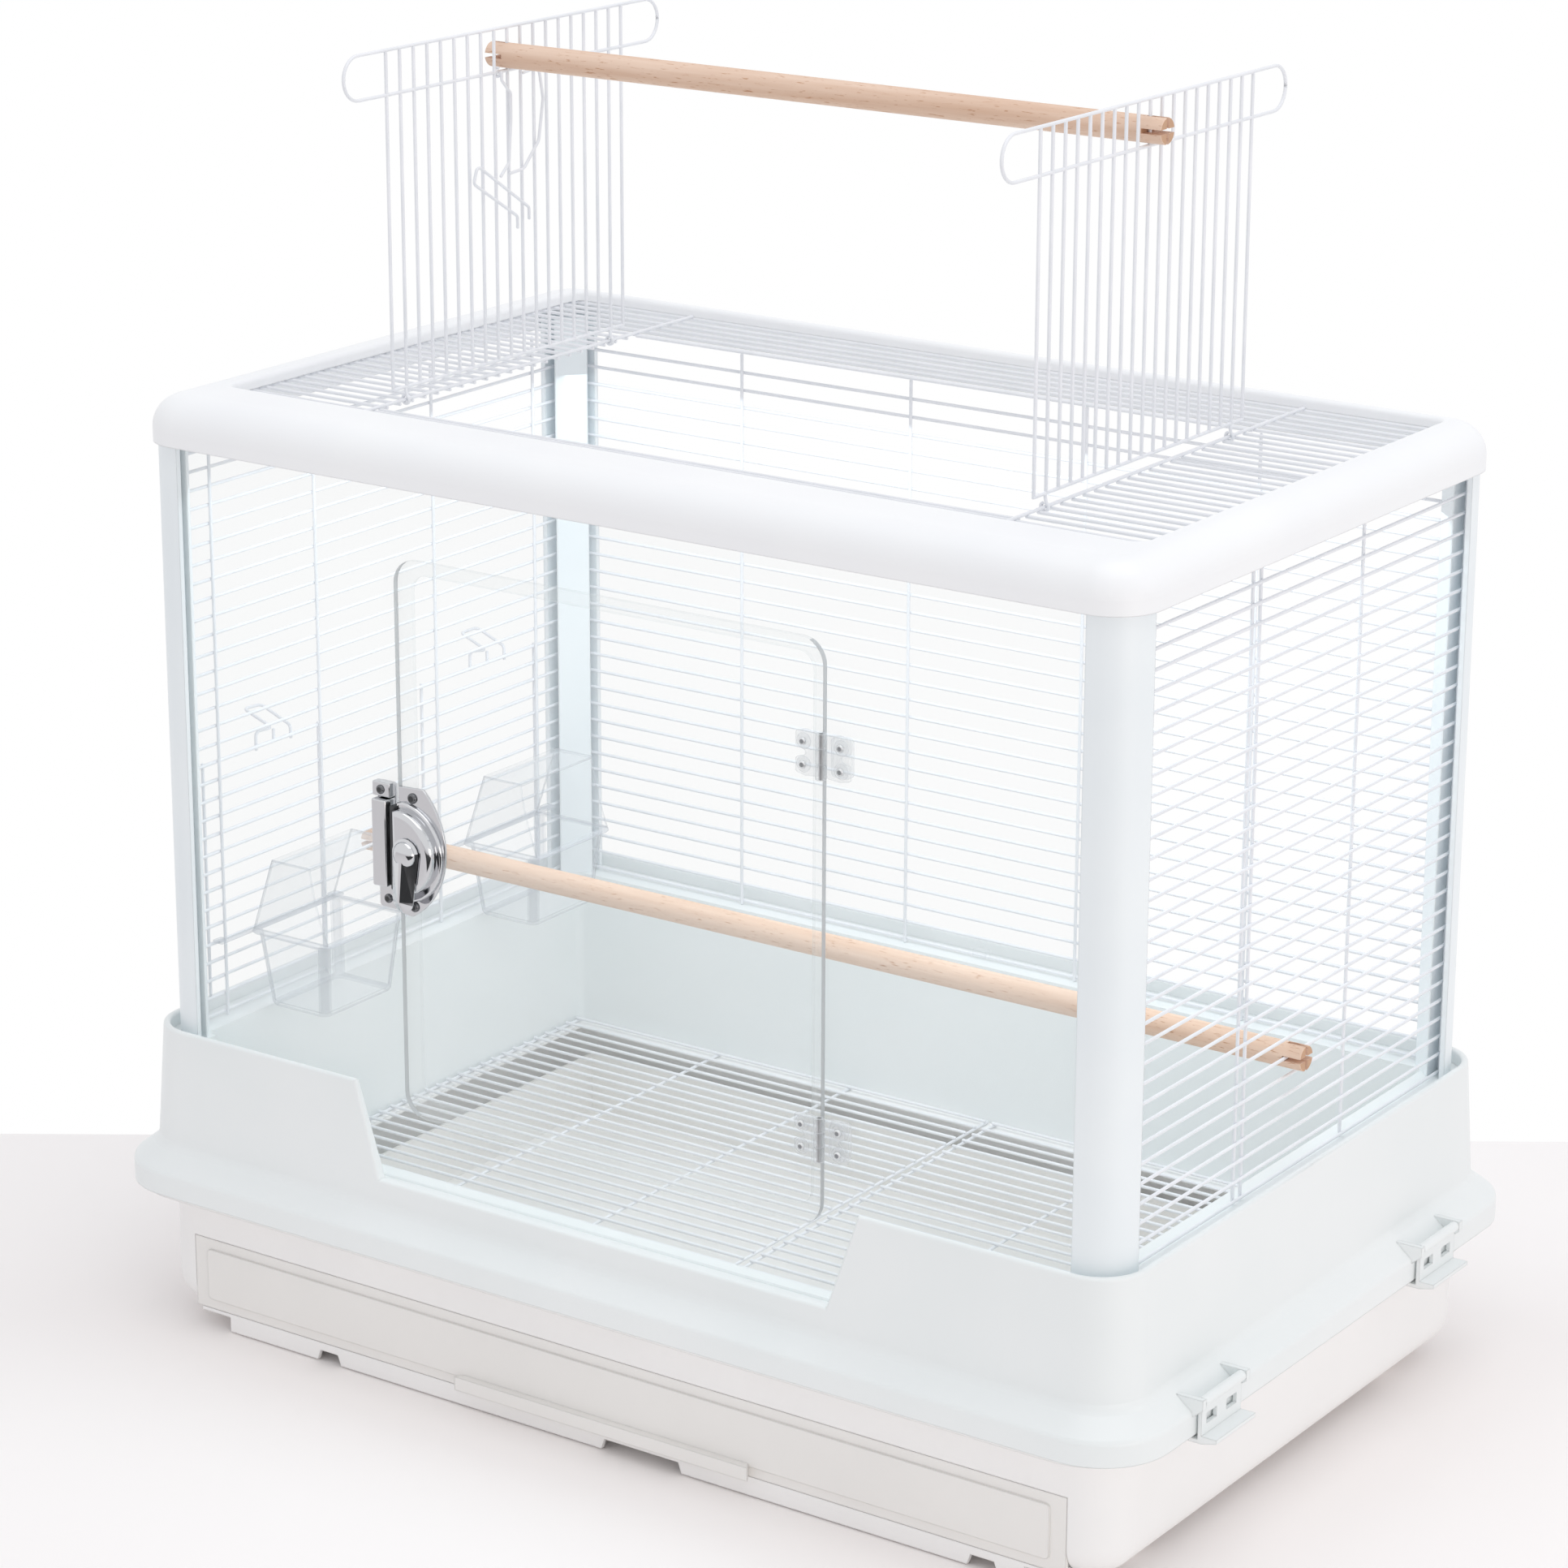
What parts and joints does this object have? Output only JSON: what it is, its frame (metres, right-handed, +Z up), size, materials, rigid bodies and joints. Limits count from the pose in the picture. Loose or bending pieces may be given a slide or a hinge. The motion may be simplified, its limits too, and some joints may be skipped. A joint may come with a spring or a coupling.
{
  "type": "bird cage",
  "caption": "White wire bird cage with clear front panel and door, moulded base with drawer, side feeders and two upright roof doors holding a perch.",
  "frame": {"origin": "on the floor under the middle of the cage", "axes": "+X towards the hinge side of the front door, +Y to the back, +Z up"},
  "size_m": [0.8036, 0.494, 0.8346],
  "materials": {
    "white_moulding": "satin",
    "white_wire": "semi-gloss",
    "clear_sheet": "clear, polished",
    "clear_moulding": "clear",
    "steel_pin": "satin",
    "chrome_lock": "polished",
    "perch_wood": "bare, sanded"
  },
  "bodies": {
    "base": {"lower_tub": "white_moulding", "tub_feet": "white_moulding", "base_collar": "white_moulding", "post_front_left": "white_moulding", "post_front_right": "white_moulding", "post_rear_left": "white_moulding", "post_rear_right": "white_moulding", "left_wire_panel": "white_wire", "right_wire_panel": "white_wire", "back_wire_panel": "white_wire", "panel_clip": "clear_moulding", "front_panel": "clear_sheet", "lower_hinge_panel_leaf": "clear_moulding", "upper_hinge_panel_leaf": "clear_moulding", "lower_hinge_pin": "steel_pin", "upper_hinge_pin": "steel_pin", "hinge_screws_panel": "steel_pin", "lock_keeper": "steel_pin", "keeper_screws": "steel_pin", "roof_frame": "white_moulding", "roof_grille": "white_wire"},
    "drawer_tray": {"drawer": "white_moulding"},
    "door": {"front_door": "clear_sheet", "lower_hinge_door_leaf": "clear_moulding", "upper_hinge_door_leaf": "clear_moulding", "hinge_screws_door": "steel_pin", "lock_case": "chrome_lock", "lock_screws": "steel_pin"},
    "lever": {"lock_lever": "chrome_lock"},
    "latch_lf": {"latch_left_front": "white_moulding"},
    "latch_lr": {"latch_left_rear": "white_moulding"},
    "latch_rf": {"latch_right_front": "white_moulding"},
    "latch_rr": {"latch_right_rear": "white_moulding"},
    "grille_left": {"floor_grille_left": "white_wire"},
    "grille_right": {"floor_grille_right": "white_wire"},
    "feeder_gate_front": {"feeder_door_front": "white_wire"},
    "feeder_gate_rear": {"feeder_door_rear": "white_wire"},
    "cup_front": {"feeder_cup_front": "clear_moulding", "feeder_hood_front": "clear_moulding"},
    "cup_rear": {"feeder_cup_rear": "clear_moulding", "feeder_hood_rear": "clear_moulding"},
    "perch_low": {"lower_perch": "perch_wood"},
    "perch_top": {"roof_perch": "perch_wood"},
    "roof_gate_left": {"roof_door_left": "white_wire"},
    "roof_gate_right": {"roof_door_right": "white_wire"},
    "hook": {"roof_door_hook": "white_wire"}
  },
  "joints": [
    {"name": "drawer_slide", "type": "slide", "parent": "base", "child": "drawer_tray", "axis": [0, -1, 0], "range_m": [0, 0.38]},
    {"name": "front_door_hinge", "type": "hinge", "parent": "base", "child": "door", "pos_m": [0.1587, -0.221, 0.3615], "axis": [0, 0, 1], "range_deg": [0, 110]},
    {"name": "lock_lever_turn", "type": "hinge", "parent": "door", "child": "lever", "pos_m": [-0.143, -0.2286, 0.364], "axis": [0, -1, 0], "range_deg": [0, 180]},
    {"name": "latch_left_front_swing", "type": "hinge", "parent": "base", "child": "latch_lf", "pos_m": [-0.3915, -0.147, 0.119], "axis": [0, 1, 0], "range_deg": [0, 70]},
    {"name": "latch_left_rear_swing", "type": "hinge", "parent": "base", "child": "latch_lr", "pos_m": [-0.3915, 0.123, 0.119], "axis": [0, 1, 0], "range_deg": [0, 70]},
    {"name": "latch_right_front_swing", "type": "hinge", "parent": "base", "child": "latch_rf", "pos_m": [0.3915, -0.147, 0.119], "axis": [0, -1, 0], "range_deg": [0, 70]},
    {"name": "latch_right_rear_swing", "type": "hinge", "parent": "base", "child": "latch_rr", "pos_m": [0.3915, 0.123, 0.119], "axis": [0, -1, 0], "range_deg": [0, 70]},
    {"name": "floor_grille_left_lift", "type": "slide", "parent": "base", "child": "grille_left", "axis": [0, 0, 1], "range_m": [0, 0.06]},
    {"name": "floor_grille_right_lift", "type": "slide", "parent": "base", "child": "grille_right", "axis": [0, 0, 1], "range_m": [0, 0.06]},
    {"name": "feeder_door_front_slide", "type": "slide", "parent": "base", "child": "feeder_gate_front", "axis": [0, 0, 1], "range_m": [0, 0.1]},
    {"name": "feeder_door_rear_slide", "type": "slide", "parent": "base", "child": "feeder_gate_rear", "axis": [0, 0, 1], "range_m": [0, 0.1]},
    {"name": "feeder_cup_front_lift", "type": "slide", "parent": "base", "child": "cup_front", "axis": [0, 0, 1], "range_m": [0, 0.006]},
    {"name": "feeder_cup_rear_lift", "type": "slide", "parent": "base", "child": "cup_rear", "axis": [0, 0, 1], "range_m": [0, 0.006]},
    {"name": "lower_perch_slide", "type": "slide", "parent": "base", "child": "perch_low", "axis": [0, 1, 0], "range_m": [-0.034, 0.034]},
    {"name": "roof_perch_lift", "type": "slide", "parent": "base", "child": "perch_top", "axis": [0, 0, 1], "range_m": [0, 0.007]},
    {"name": "roof_door_left_swing", "type": "hinge", "parent": "base", "child": "roof_gate_left", "pos_m": [-0.235, 0, 0.6135], "axis": [0, -1, 0], "range_deg": [0, 80]},
    {"name": "roof_door_right_swing", "type": "hinge", "parent": "base", "child": "roof_gate_right", "pos_m": [0.235, 0, 0.6135], "axis": [0, 1, 0], "range_deg": [0, 80]},
    {"name": "roof_hook_swing", "type": "hinge", "parent": "roof_gate_left", "child": "hook", "pos_m": [-0.235, 0.0067, 0.8061], "axis": [0, -1, 0], "range_deg": [0, 60]}
  ]
}
